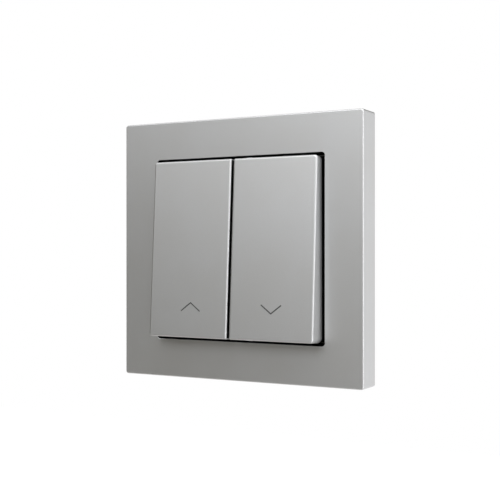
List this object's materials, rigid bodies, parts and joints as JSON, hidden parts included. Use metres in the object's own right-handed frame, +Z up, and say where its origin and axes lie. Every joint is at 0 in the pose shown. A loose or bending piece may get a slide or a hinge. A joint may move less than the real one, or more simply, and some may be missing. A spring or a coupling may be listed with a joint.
{
  "type": "double push button",
  "caption": "Flush double push button for a wall box: two sprung rockers with an up and a down arrow in a square cover frame, on a mounting ring with a terminal case behind.",
  "frame": {"origin": "middle of the mounting ring's screw holes, on the wall plane that the ring and the cover frame lie on", "axes": "+X to the right seen from the front, +Y into the wall, +Z up; the front faces -Y"},
  "size_m": [0.0812, 0.0363, 0.0812],
  "materials": {
    "satin_aluminium_lacquer": "satin metallic lacquer on moulded plastic",
    "zinc_plated_steel": "bright zinc plating",
    "polished_steel": "ground steel",
    "light_grey_plastic": "moulded, fine matt",
    "black_plastic": "moulded, fine matt",
    "white_plastic": "moulded, satin",
    "copper_alloy": "punched strip",
    "brass": "machined"
  },
  "bodies": {
    "wall_unit": {"cover_frame": "satin_aluminium_lacquer", "mounting_ring": "zinc_plated_steel", "plate_screw_top_left": "zinc_plated_steel", "plate_screw_top_right": "zinc_plated_steel", "plate_screw_bottom_left": "zinc_plated_steel", "plate_screw_bottom_right": "zinc_plated_steel", "terminal_screw_left": "zinc_plated_steel", "terminal_screw_common": "zinc_plated_steel", "terminal_screw_right": "zinc_plated_steel", "pivot_axle": "polished_steel", "return_spring_left": "polished_steel", "return_spring_right": "polished_steel", "socket_body": "light_grey_plastic", "bearing_plate": "black_plastic", "common_contact": "copper_alloy", "output_contact_left": "copper_alloy", "output_contact_right": "copper_alloy", "terminal_clamp_left": "brass", "terminal_clamp_common": "brass", "terminal_clamp_right": "brass"},
    "left_rocker": {"rocker_left": "satin_aluminium_lacquer", "toggle_left": "black_plastic"},
    "right_rocker": {"rocker_right": "satin_aluminium_lacquer", "toggle_right": "black_plastic"},
    "left_plunger": {"plunger_left": "white_plastic", "contact_bridge_left": "copper_alloy"},
    "right_plunger": {"plunger_right": "white_plastic", "contact_bridge_right": "copper_alloy"}
  },
  "joints": [
    {"name": "left_rocker_tilt", "type": "hinge", "parent": "wall_unit", "child": "left_rocker", "pos_m": [0, -0.0044, 0], "axis": [1, 0, 0], "range_deg": [0, 5], "stiffness_Nm_per_rad": 0.3, "springref_deg": -8.59},
    {"name": "right_rocker_tilt", "type": "hinge", "parent": "wall_unit", "child": "right_rocker", "pos_m": [0, -0.0044, 0], "axis": [1, 0, 0], "range_deg": [0, 5], "stiffness_Nm_per_rad": 0.3, "springref_deg": -8.59},
    {"name": "left_plunger_slide", "type": "slide", "parent": "wall_unit", "child": "left_plunger", "axis": [0, 1, 0], "range_m": [0, 0.00105], "deforming": ["return_spring_left"]},
    {"name": "right_plunger_slide", "type": "slide", "parent": "wall_unit", "child": "right_plunger", "axis": [0, 1, 0], "range_m": [0, 0.00105], "deforming": ["return_spring_right"]}
  ],
  "couplings": [
    {"joint": "left_plunger_slide", "follows": "left_rocker_tilt", "m_per_rad": 0.012},
    {"joint": "right_plunger_slide", "follows": "right_rocker_tilt", "m_per_rad": 0.012}
  ]
}
